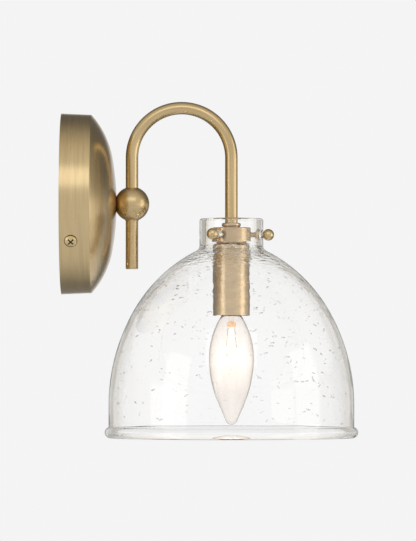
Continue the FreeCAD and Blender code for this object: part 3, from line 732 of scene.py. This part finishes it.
# %% Places in the wall
seed_count = 950
seeds_top, seeds_low = 0.020, 0.030     # kept free at the top, and in all
crowding = 1.6                          # above 1, more bubbles sit near the top
lean = 0.45                             # spread of their turn from level, in radians
smallest, largest = 0.25, 1.0
rarity = 3.0                            # above 1, large ones are rarer
thickest = 0.75
wall_part = (0.35, 0.65)                # shares of the wall's thickness, from its inner face
wall_limit = 0.006                      # more than that thickness
skin = 0.0002                           # start of the second ray, just inside the glass
steepest = 0.97                         # a face that looks up or down more isn't the wall
wall_height = shade_high.z - shade_low.z
draw = random.Random(7)
wall = BVHTree.FromObject(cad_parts["glass_shade"], bpy.context.evaluated_depsgraph_get())
places = []
for number in range(seed_count):
    depth = (wall_height - seeds_low) * draw.random() ** crowding
    height = shade_high.z - seeds_top - depth
    turn = draw.uniform(0, 2 * math.pi)
    way = Vector((math.cos(turn), math.sin(turn), 0))
    inner, normal, *rest = wall.ray_cast(Vector((lamp_x, 0, height)), way)
    if inner is None or abs(normal.z) > steepest:
        continue
    out = -normal
    outer, *rest, thick = wall.ray_cast(inner + out * skin, out)
    if outer is None or thick > wall_limit:
        continue
    level_way = Vector((0, 0, 1)).cross(out).normalized()
    long_way = Matrix.Rotation(draw.gauss(0, lean), 3, out) @ level_way
    side_way = out.cross(long_way)
    size = smallest + (largest - smallest) * draw.random() ** rarity
    turned = Matrix((long_way * size, side_way * size, out * min(size, thickest))).transposed()
    middle_of_wall = inner.lerp(outer, draw.uniform(*wall_part))
    places.append(Matrix.Translation(middle_of_wall) @ turned.to_4x4())
print("places:", len(places))

# %% Bubbles in the wall
bubbles = []
for place in places:
    copy = bubble.copy()
    copy.data = bubble.data.copy()
    copy.matrix_world = place
    bpy.context.scene.collection.objects.link(copy)
    bubbles.append(copy)
bpy.data.objects.remove(bubble)
bpy.ops.object.select_all(action="DESELECT")
for copy in bubbles:
    copy.select_set(True)
seeds = bubbles[0]
bpy.context.view_layer.objects.active = seeds
bpy.ops.object.join()
seeds.name = "glass_seeds"
bpy.ops.object.transform_apply(location=True, rotation=True, scale=True)
bpy.ops.object.select_all(action="DESELECT")
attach(seeds, "lamp")
print("seeds:", len(bubbles))

# %% [markdown]
# A bubble is seen by its edge, which throws the light aside and looks dark, while its middle is as
# clear as the wall. So the bubble is glass that turns to a mirror towards its edge, and a faint
# glow stands for the lamp's light that it catches.

# %% Finish of the bubbles
edge_start, edge_full = 0.05, 0.17
speckle_fine, speckle_tone = 500.0, 0.84
seed_finish, graph = finish_of("seed_bubble")
speckle = graph.noise(graph.where(), speckle_fine)
graph.surface(graph.node("BsdfPrincipled", None, {
    "Base Color": graph.mixed(speckle, grey(speckle_tone), grey(1.0)),
    "Metallic": graph.between(graph.facing(), edge_start, edge_full),
    "Roughness": 0.0, "IOR": glass_ior, "Transmission Weight": 1.0,
    "Emission Color": (1.0, 0.98, 0.95, 1.0), "Emission Strength": 0.14}))
seeds.data.materials.clear()
seeds.data.materials.append(seed_finish)
print("bubbles turn to mirror from", edge_start, "to", edge_full)

# %% [markdown]
# ## Plain metals and mouldings
# The hardware inside is zinc plated steel and nickel, with a grain finer than brushing. The socket
# and the bulb's insulator are moulded in black, the bushes in white nylon, and the ground screw is
# painted green. One recipe makes the metals and one the mouldings, each from two noises: a grain
# that roughens and dents, and a slow one that shades the colour.

# %% Metals and mouldings
metal_grain, wear_grain = 300.0, 45.0
wear_span, worn_tone = (0.35, 0.7), 0.78
metal_rough, metal_dent = 0.2, (0.15, 0.00005)
moulded_grain, cloud_grain = 1400.0, 90.0
cloud_gain, cloud_lift = 1.15, 0.01
moulded_rough, moulded_dent = 0.1, (0.2, 0.00004)


def metal(name, colour, rough):
    """Plated or bare metal with a fine grain."""
    material, graph = finish_of(name)
    grain = graph.noise(graph.where(), metal_grain, 4.0, 0.6)
    worn = graph.noise(graph.where(), wear_grain, 3.0)
    darker = toned(colour, grey(worn_tone))
    graph.surface(graph.node("BsdfPrincipled", None, {
        "Base Color": graph.mixed(graph.between(worn, *wear_span), colour, darker),
        "Metallic": 1.0, "Roughness": rough + (grain - 0.5) * metal_rough,
        "Normal": graph.bump(grain, *metal_dent)}))
    return material


def moulding(name, colour, rough, coat=0.0):
    """Moulded plastic or paint with a faint grain."""
    material, graph = finish_of(name)
    grain = graph.noise(graph.where(), moulded_grain, 3.0)
    cloud = graph.noise(graph.where(), cloud_grain)
    lighter = tuple(min(1.0, part * cloud_gain + cloud_lift) for part in colour)
    graph.surface(graph.node("BsdfPrincipled", None, {
        "Base Color": graph.mixed(cloud, colour, lighter),
        "Roughness": rough + (grain - 0.5) * moulded_rough, "Coat Weight": coat,
        "Normal": graph.bump(grain, *moulded_dent)}))
    return material


dress(metal("zinc_steel", (0.62, 0.62, 0.60), 0.34), "mounting_strap", "canopy_nipple",
      "canopy_washer", "canopy_nut", "socket_bracket", "socket_nut", "bracket_screws")
dress(metal("nickel", (0.70, 0.68, 0.64), 0.22), "socket_shell", "socket_contact", "bulb_cap",
      "bulb_leads")
dress(metal("solder", (0.60, 0.60, 0.60), 0.42), "bulb_contact")
dress(moulding("green_screw", (0.10, 0.36, 0.16), 0.35, 0.4), "ground_screw")
dress(moulding("black_moulding", (0.05, 0.05, 0.05), 0.45), "socket_body", "bulb_insulator")
dress(moulding("white_nylon", (0.90, 0.90, 0.88), 0.5), "bush_1", "bush_2", "bush_3")

# %% [markdown]
# ## The coiled filament
# The filament is tungsten wire wound into a fine coil, hung as a loop between the ends of the
# lead wires. A curve could be drawn through every winding, but a small circle that is wound along
# X by the Screw modifier, and then laid round the loop by the Bend of Simple Deform, keeps both
# the winding and the loop exact. The wire has six sides, which is enough at its size.

# %% The straight coil
loop_low, loop_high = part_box("bulb_filament")
loop_r = 0.0053                  # radius of the loop
loop_turn = math.radians(268.4)  # how far round the loop goes
coil_r, wire_r = 0.00033, 0.00012
coil_turns = 36
steps_a_turn = 8
wire_sides = 6
coil_long = loop_r * loop_turn
bpy.ops.mesh.primitive_circle_add(vertices=wire_sides, radius=wire_r, location=(0, 0, 0))
filament = bpy.context.object
filament.name = "coiled_filament"
bpy.ops.object.mode_set(mode="EDIT")
bpy.ops.mesh.select_all(action="SELECT")
bpy.ops.transform.translate(value=(-coil_long / 2, coil_r, 0))
bpy.ops.object.mode_set(mode="OBJECT")
wind = filament.modifiers.new("wind", "SCREW")
wind.axis = "X"
wind.angle = 2 * math.pi
wind.screw_offset = coil_long / coil_turns
wind.iterations = coil_turns
wind.steps = wind.render_steps = steps_a_turn
wind.use_merge_vertices = True
bpy.ops.object.modifier_apply(modifier=wind.name)
print("coil", round(1000 * coil_long, 1), "mm long")

# %% The loop
bend = filament.modifiers.new("bend", "SIMPLE_DEFORM")
bend.deform_method = "BEND"
bend.deform_axis = "Z"
bend.angle = loop_turn
bpy.ops.object.modifier_apply(modifier=bend.name)
bpy.ops.object.mode_set(mode="EDIT")
bpy.ops.mesh.select_all(action="SELECT")
bpy.ops.mesh.fill_holes(sides=wire_sides)
bpy.ops.mesh.normals_make_consistent(inside=False)
bpy.ops.object.mode_set(mode="OBJECT")
bpy.ops.object.shade_smooth()
filament.rotation_euler = (math.pi / 2, 0, 0)
filament.location = (lamp_x, 0, loop_low.z + wire_r + coil_r)
bpy.ops.object.transform_apply(location=True, rotation=True, scale=True)
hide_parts("bulb_filament")
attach(filament, "bulb")
print("filament", len(filament.data.polygons), "faces, box",
      [round(1000 * side, 2) for side in (*filament.bound_box[0], *filament.bound_box[6])],
      "solid", [round(1000 * side, 2) for side in (*loop_low, *loop_high)])

# %% Finish of the filament
heat_grain, heat_strength = 400.0, 60.0
cooler, hotter = (1.0, 0.74, 0.46), (1.0, 0.88, 0.66)
hot, graph = finish_of("glowing_wire")
heat = graph.noise(graph.where(), heat_grain)
graph.surface(graph.node("BsdfPrincipled", None, {
    "Base Color": (0.9, 0.7, 0.4, 1), "Roughness": 0.5,
    "Emission Color": graph.mixed(heat, cooler, hotter), "Emission Strength": heat_strength}))
filament.data.materials.append(hot)
bpy.ops.object.select_all(action="DESELECT")
print("filament glows")

# %% [markdown]
# ## The thumbscrews
# Each is a brass ball turned on the end of a threaded shank. A thread could be swept as a profile
# along a helix, but it then has to be joined to the shank. Here the shank is a cylinder cut into
# rings, whose points move in and out along the helix, which keeps the mesh closed. The ball is
# extruded from its end, ring by ring. One is modelled along Z and three are placed.

# %% The shank in rings
thread_pitch = 0.0007
crest_r, root_r, tip_r = 0.0020, 0.0017, 0.0014
knob_r, knob_reach = 0.0041, 0.0259      # the ball, and its centre from the lamp's axis
shank_tip = 0.0084                       # the screw's tip from the lamp's axis
shank_sides = 24
rings_a_turn = 4
hair_gap = 0.0001                        # how near a level a point counts as on it
neck_angle = math.asin(crest_r / knob_r)
shank_end = knob_reach - knob_r * math.cos(neck_angle)
shank_long = shank_end - shank_tip
rings = round(shank_long / thread_pitch * rings_a_turn)
bpy.ops.mesh.primitive_cylinder_add(vertices=shank_sides, radius=crest_r, depth=shank_long,
                                    location=(0, 0, shank_tip + shank_long / 2))
screw = bpy.context.object
bpy.ops.object.transform_apply(location=True, rotation=False, scale=False)
bpy.ops.object.mode_set(mode="EDIT")
bpy.ops.mesh.select_mode(type="EDGE")
bpy.ops.mesh.select_all(action="DESELECT")
bpy.ops.object.mode_set(mode="OBJECT")
for edge in screw.data.edges:
    a, b = (screw.data.vertices[index].co for index in edge.vertices)
    edge.select = abs(a.z - b.z) > shank_long / 2
bpy.ops.object.mode_set(mode="EDIT")
bpy.ops.mesh.subdivide(number_cuts=rings - 1)
bpy.ops.mesh.select_mode(type="FACE")
bpy.ops.mesh.select_all(action="DESELECT")
bpy.ops.object.mode_set(mode="OBJECT")
print("shank:", rings, "rings")

# %% The thread
for point in screw.data.vertices:
    x, y, z = point.co
    round_part = (z - shank_tip) / thread_pitch - math.atan2(y, x) / (2 * math.pi)
    depth = abs(2 * (round_part % 1) - 1)
    run_out = min(1.0, (shank_end - z) / thread_pitch)
    radius = crest_r - (crest_r - root_r) * depth * run_out
    if z < shank_tip + hair_gap:
        radius = tip_r
    scale = radius / math.hypot(x, y)
    point.co = (x * scale, y * scale, z)
print("thread:", round(shank_long / thread_pitch, 1), "turns")

# %% The ball
ball_rings = 14
pole_gap = 0.06                          # the last ring stops this angle short of the pole
last_angle = math.pi - pole_gap
sharp_angle = math.radians(35)           # edges that bend more stay sharp
facing_up = 0.9
for face in screw.data.polygons:
    face.select = face.normal.z > facing_up and face.center.z > shank_end - hair_gap
bpy.ops.object.mode_set(mode="EDIT")
ring_r = crest_r
ring_z = shank_end
for ring in range(1, ball_rings + 1):
    angle = neck_angle + (last_angle - neck_angle) * ring / ball_rings
    new_r, new_z = knob_r * math.sin(angle), knob_reach - knob_r * math.cos(angle)
    bpy.ops.mesh.extrude_region_move(TRANSFORM_OT_translate={"value": (0, 0, new_z - ring_z)})
    bpy.ops.transform.resize(value=(new_r / ring_r, new_r / ring_r, 1),
                             center_override=(0, 0, new_z))
    ring_r, ring_z = new_r, new_z
bpy.ops.mesh.poke()
bpy.ops.mesh.select_all(action="SELECT")
bpy.ops.mesh.normals_make_consistent(inside=False)
bpy.ops.object.mode_set(mode="OBJECT")
bpy.ops.object.shade_smooth_by_angle(angle=sharp_angle)
print("thumbscrew:", len(screw.data.polygons), "faces")

# %% Three thumbscrews
knob_brass = brass("brass_knob", lamp_lines, (0.66, 0.50, 0.27), 0.15, 0.2)
screw_start = Vector((lamp_x, 0, middle_of("thumbscrew_1").z))
for number in (1, 2, 3):
    body = f"thumbscrew_{number}"
    out = (middle_of(body) - screw_start).normalized()
    placed = screw.copy()
    placed.data = screw.data.copy()
    placed.name = f"ball_thumbscrew_{number}"
    bpy.context.scene.collection.objects.link(placed)
    placed.matrix_world = (Matrix.Translation(screw_start)
                           @ out.to_track_quat("Z", "Y").to_matrix().to_4x4())
    bpy.ops.object.select_all(action="DESELECT")
    placed.select_set(True)
    bpy.context.view_layer.objects.active = placed
    bpy.ops.object.transform_apply(location=True, rotation=True, scale=True)
    placed.data.materials.append(knob_brass)
    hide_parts(body)
    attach(placed, body)
bpy.data.objects.remove(screw)
bpy.ops.object.select_all(action="DESELECT")
